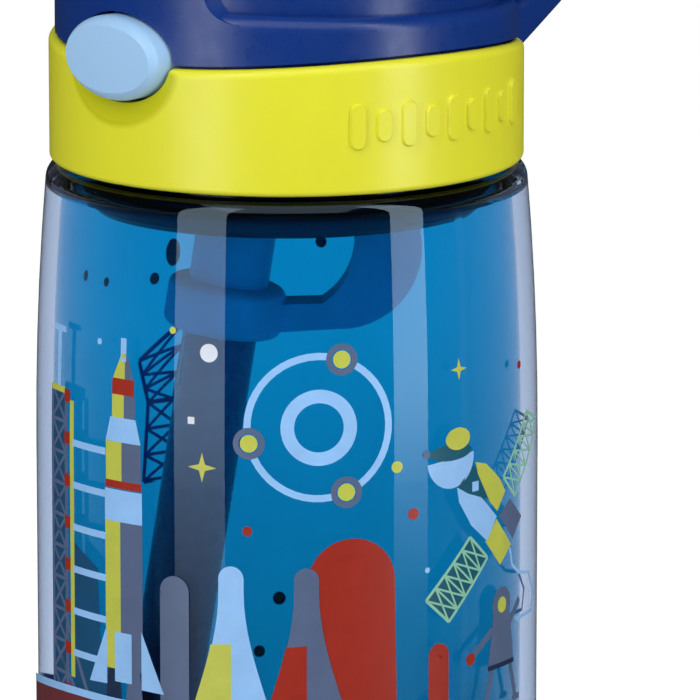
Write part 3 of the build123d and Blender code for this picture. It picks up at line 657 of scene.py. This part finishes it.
def satellite(name, heading, height):
    """Bowl dish, two-tone body, two open lattice panels and a trailing line."""
    art = Print(name, heading, height)
    art.fill("light_blue", arc(-5.5, 7.1, 4.3, 186, 366))
    art.fill("teal", oval(-5.5, 8.0, 3.9, 1.2, range(0, 360, 15)), 1)
    art.fill("lime", oval(-4.3, 9.8, 2.3, 1.6, range(0, 360, 15)), 2)
    art.disc("grey", -9.9, 8.2, 0.6)
    art.fill("teal", [(-4.3, 2.9), (-1.2, 5.6), (0.0, 4.2), (2.4, 0.4), (0.4, 0.2), (-3.6, 2.0)])
    shoulder = [(-0.8, 5.9), (1.5, 5.3), (4.8, 2.6), (6.4, 0.5), (4.3, -2.1), (2.4, -0.4), (-0.3, 4.1)]
    art.fill("lime", shoulder, 1)
    art.box("light_blue", -1.5, -0.2, 1.7, 3.1, 2)
    body = [(-4.5, 2.8), (-2.4, 1.6), (0.4, 0.6), (4.1, -2.8), (1.8, -6.0), (-1.6, -3.2), (-4.1, 0.6)]
    art.fill("light_blue", body, 1)
    art.fill("lime", [(4.1, -3.2), (8.2, -7.7), (5.1, -10.1), (1.5, -6.1)])
    art.fill("grey", [(4.7, -2.9), (7.9, -1.0), (11.8, -4.3), (8.8, -6.9)])
    low_panel = [(-1.9, -4.8), (1.9, -8.4), (-6.0, -16.4), (-10.0, -12.8)]
    art.fill("teal", low_panel)
    art.lattice("mint", low_panel, 5, 0.42, 1)
    art.lattice("mint", [(5.9, 2.5), (9.3, -0.9), (19.6, 8.3), (13.8, 10.6)], 5, 0.42, 1)
    bends = [(7.8, -8.2), (8.6, -10.8), (10.7, -12.3), (15.1, -13.3), (17.8, -16.4), (16.8, -19.2),
             (9.8, -19.0)]
    for start, stop in zip(bends, bends[1:]):
        art.line("light_blue", start, stop, 0.5, 1)
    for x, y in bends[1:-1]:
        art.disc("light_blue", x, y, 0.25, 1)
    return art


def probe(name, heading, height):
    """Small plain lander: domed body, round window, two legs and a side boom."""
    art = Print(name, heading, height)
    art.fill("grey", arc(0, 0, 2.4, 0, 180) + [(-2.2, -1.6), (-3.4, -8.6), (3.4, -8.6), (2.2, -1.6)])
    art.disc("lime", 0, -0.2, 1.15, 1)
    art.box("dark", -3.5, 3.5, -9.3, -8.6, 1)
    for side in (-1, 1):
        art.line("grey", (side * 2.4, -9.0), (side * 4.2, -14.6), 0.9)
        art.line("grey", (side * 3.2, -14.6), (side * 5.4, -14.6), 0.9, 1)
    art.line("grey", (-2.4, -3.4), (-7.2, -6.6), 1.0)
    art.disc("red", -7.4, -6.8, 0.9, 1)
    art.line("grey", (2.4, -3.0), (5.4, -0.4), 1.0)
    return art


def ringed_planet(name, heading, height, size=1.0):
    """Banded planet with a tilted ring."""
    art = Print(name, heading, height, 18.0, size)
    art.disc("red", 0, 0, 7.0)
    art.band("lime", [(-6.6, 2.2), (6.6, 2.2)], [(-6.95, 0.7), (6.95, 0.7)], 1)
    art.band("grey", [(-6.7, -2.0), (6.7, -2.0)], [(-6.0, -3.5), (6.0, -3.5)], 1)
    front = range(150, 391, 8)
    art.band("light_blue", oval(0, 0, 11.6, 2.9, front), oval(0, 0, 10.2, 2.0, front), 2)
    return art


def moon(name, heading, height, size=1.0):
    """Cratered moon."""
    art = Print(name, heading, height, 0.0, size)
    art.disc("grey", 0, 0, 8.2)
    for x, y, radius in ((-3.0, 2.6, 2.0), (3.2, 3.4, 1.2), (2.2, -2.6, 2.4), (-3.6, -3.4, 1.1)):
        art.disc("plum", x, y, radius, 1)
        art.ring("light_blue", x, y, radius + 0.35, radius, 200, 340, 2)
    return art


def mast():
    """Lattice mast with a waist, its upper half leaning."""
    art = Print("print_mast", 255.5, 0)
    art.lattice("light_blue", [(-3.2, 87.0), (4.4, 87.0), (3.4, 98.8), (-1.4, 98.8)], 3, 0.7)
    art.lattice("light_blue", [(-1.4, 98.8), (3.4, 98.8), (5.2, 105.3), (-3.8, 110.8)], 3, 0.7)
    return art


def ground():
    """Band of rolling ground that closes the picture at the bottom."""
    art = Print("print_ground", 0.0, 0, over=11)
    reach = math.pi * BODY_R / MM
    steps = 120
    span = [-reach + 2 * reach * i / steps for i in range(steps + 1)]
    hills = []
    for u in span:
        turn = u / reach * math.pi
        hills.append((u, 25.0 + 2.4 * math.sin(turn * 3) + 1.4 * math.sin(turn * 7)))
    art.band("grey", [(u, h + 9.0) for u, h in hills], [(u, h) for u, h in hills])
    art.band("light_blue", [(u, h + 10.1) for u, h in hills], [(u, h + 9.0) for u, h in hills], 1)
    art.band("plum", [(u, h) for u, h in hills], [(u, 17.0) for u, h in hills])
    for i in range(11):
        u = -reach + 2 * reach * (i + 0.4) / 11
        art.disc("plum", u, 29.5 + 1.2 * math.sin(i * 2.1), 1.2 + 0.6 * math.sin(i * 1.3), 1)
    return art


def small_marks():
    """Dots, squares and four-pointed stars scattered over the sky."""
    art = Print("print_marks", 0.0, 0)
    per_degree = math.radians(1) * BODY_R / MM
    dots = (
        ("light_blue", -3.3, 118.7, 0.45), ("white", 26.3, 119.0, 1.3), ("lime", 17.5, 121.8, 0.5),
        ("lime", 69.2, 102.4, 0.85), ("red", 73.3, 95.4, 0.85), ("red", 35.1, 93.9, 0.7),
        ("red", 110.3, 113.2, 0.6), ("light_blue", 77.0, 87.0, 0.4), ("dark", 286.5, 120.4, 0.8),
        ("dark", 276.3, 118.4, 0.7), ("dark", 259.2, 117.4, 0.9), ("dark", 215.4, 121.7, 0.9),
        ("dark", 226.6, 112.5, 1.3), ("dark", 226.0, 67.4, 1.0), ("dark", 231.0, 59.3, 0.9),
        ("lime", 150.0, 46.0, 0.8), ("white", 200.0, 50.0, 1.1), ("red", 262.0, 48.0, 0.8),
    )
    for colour, heading, height, radius in dots:
        art.disc(colour, heading * per_degree, height, radius)
    stars = (("lime", 24.8, 102.7, 2.1), ("lime", 86.2, 115.1, 1.5), ("lime", 160.0, 50.0, 1.6),
             ("white", 214.0, 44.0, 1.6), ("lime", 272.0, 50.0, 1.4))
    for colour, heading, height, radius in stars:
        art.star(colour, heading * per_degree, height, radius)
    art.box("white", 22.2 * per_degree - 0.5, 22.2 * per_degree + 0.5, 108.8, 109.8)
    art.fill("dark", oval(253.8 * per_degree, 121.0, 1.3, 2.1, range(0, 360, 18)))
    return art


pictures = [
    hill(),
    launch_tower(),
    rocket("print_rocket", 4.4, 70.0),
    skyline(),
    orbit_badge("print_orbit", 51.1, 108.7),
    satellite("print_satellite", 92.5, 95.4),
    probe("print_probe", 101.5, 79.6),
    ringed_planet("print_planet", 236.0, 44.0, 0.8),
    moon("print_moon", 182.0, 41.0, 0.9),
    orbit_badge("print_orbit_back", 298.0, 45.0, 0.7),
    mast(),
    ground(),
    small_marks(),
]
for picture in pictures:
    picture.build()


# ---- studio ---------------------------------------------------------------------------------------
def heading_vector(heading, elevation=0.0):
    """Unit vector from the bottle towards a heading round from the front."""
    a, e = math.radians(heading), math.radians(elevation)
    return Vector((math.sin(a) * math.cos(e), -math.cos(a) * math.cos(e), math.sin(e)))


def aim(thing, place, target):
    thing.location = place
    thing.rotation_mode = "QUATERNION"
    thing.rotation_quaternion = (target - place).to_track_quat("-Z", "Y")


def softbox(name, place, target, width, height, power, fade=None):
    """Area lamp; fade gives two heights, between which its face goes from dim to full, and the dim level."""
    light = bpy.data.lights.new(name, "AREA")
    light.shape = "RECTANGLE"
    light.size, light.size_y, light.energy = width, height, power
    light.color = LAMP_COLOUR
    if fade:
        light.use_nodes = True
        tree = light.node_tree
        point = tree.nodes.new("ShaderNodeNewGeometry")
        parts = tree.nodes.new("ShaderNodeSeparateXYZ")
        ramp = tree.nodes.new("ShaderNodeMapRange")
        ramp.interpolation_type = "SMOOTHSTEP"
        ramp.inputs["From Min"].default_value, ramp.inputs["From Max"].default_value = fade[:2]
        ramp.inputs["To Min"].default_value = fade[2]
        tree.links.new(point.outputs["Position"], parts.inputs["Vector"])
        tree.links.new(parts.outputs["Z"], ramp.inputs["Value"])
        tree.links.new(ramp.outputs["Result"], tree.nodes["Emission"].inputs["Strength"])
    lamp = bpy.data.objects.new(name, light)
    bpy.context.scene.collection.objects.link(lamp)
    lamp.visible_camera = False
    lamp.visible_transmission = False
    aim(lamp, place, target)


def studio():
    """Two tall softboxes close beside the bottle, a broad one overhead, on a pale sweep."""
    middle = Vector((0, 0, SOFTBOX_HEIGHT / 2))
    boxes = (("left_box", -38.2, 0.122, 0.68, (0.0, 0.075, 0.22)),
             ("right_box", 55.2, 0.088, 0.70, (0.01, 0.08, 0.06)))
    for name, offset, width, power, fade in boxes:
        place = heading_vector(CAMERA_HEADING + offset) * SOFTBOX_DISTANCE + middle
        softbox(name, place, middle, width, SOFTBOX_HEIGHT, power, fade)
    overhead = heading_vector(CAMERA_HEADING, OVERHEAD_TILT) * OVERHEAD_DISTANCE
    softbox("overhead", overhead, Vector((0, 0, 0.1)), OVERHEAD_SIZE, OVERHEAD_SIZE, OVERHEAD_POWER)
    world = bpy.data.worlds.new("studio")
    world.use_nodes = True
    background = world.node_tree.nodes["Background"]
    background.inputs["Color"].default_value = (0.95, 0.97, 1.0, 1.0)
    path = world.node_tree.nodes.new("ShaderNodeLightPath")
    dimmer = world.node_tree.nodes.new("ShaderNodeMapRange")
    dimmer.inputs["To Min"].default_value = ROOM_SEEN
    dimmer.inputs["To Max"].default_value = ROOM_REFLECTED
    reflected = world.node_tree.nodes.new("ShaderNodeMath")
    reflected.operation = "GREATER_THAN"
    world.node_tree.links.new(path.outputs["Is Glossy Ray"], reflected.inputs[0])
    world.node_tree.links.new(path.outputs["Is Transmission Ray"], reflected.inputs[1])
    world.node_tree.links.new(reflected.outputs["Value"], dimmer.inputs["Value"])
    world.node_tree.links.new(dimmer.outputs["Result"], background.inputs["Strength"])
    bpy.context.scene.world = world
    bpy.ops.mesh.primitive_plane_add(size=FLOOR_SIZE, location=(0, 0, -0.0002))
    floor = bpy.context.object
    floor.name = "floor"
    floor.data.materials.append(studio_paper())
    bpy.context.scene.view_settings.view_transform = "Standard"


def photo_camera():
    """Camera at the photograph's viewing angle and crop."""
    data = bpy.data.cameras.new("camera")
    data.sensor_width, data.lens = 36.0, CAMERA_LENS_MM
    camera = bpy.data.objects.new("camera", data)
    bpy.context.scene.collection.objects.link(camera)
    bpy.context.scene.camera = camera
    target = Vector((0, 0, CAMERA_TARGET_Z))
    back = heading_vector(CAMERA_HEADING, CAMERA_ELEVATION)
    right = heading_vector(CAMERA_HEADING + 90.0)
    up = back.cross(right)
    aim(camera, target + back * CAMERA_DISTANCE, target + right * AIM_RIGHT + up * AIM_UP)


studio()
photo_camera()
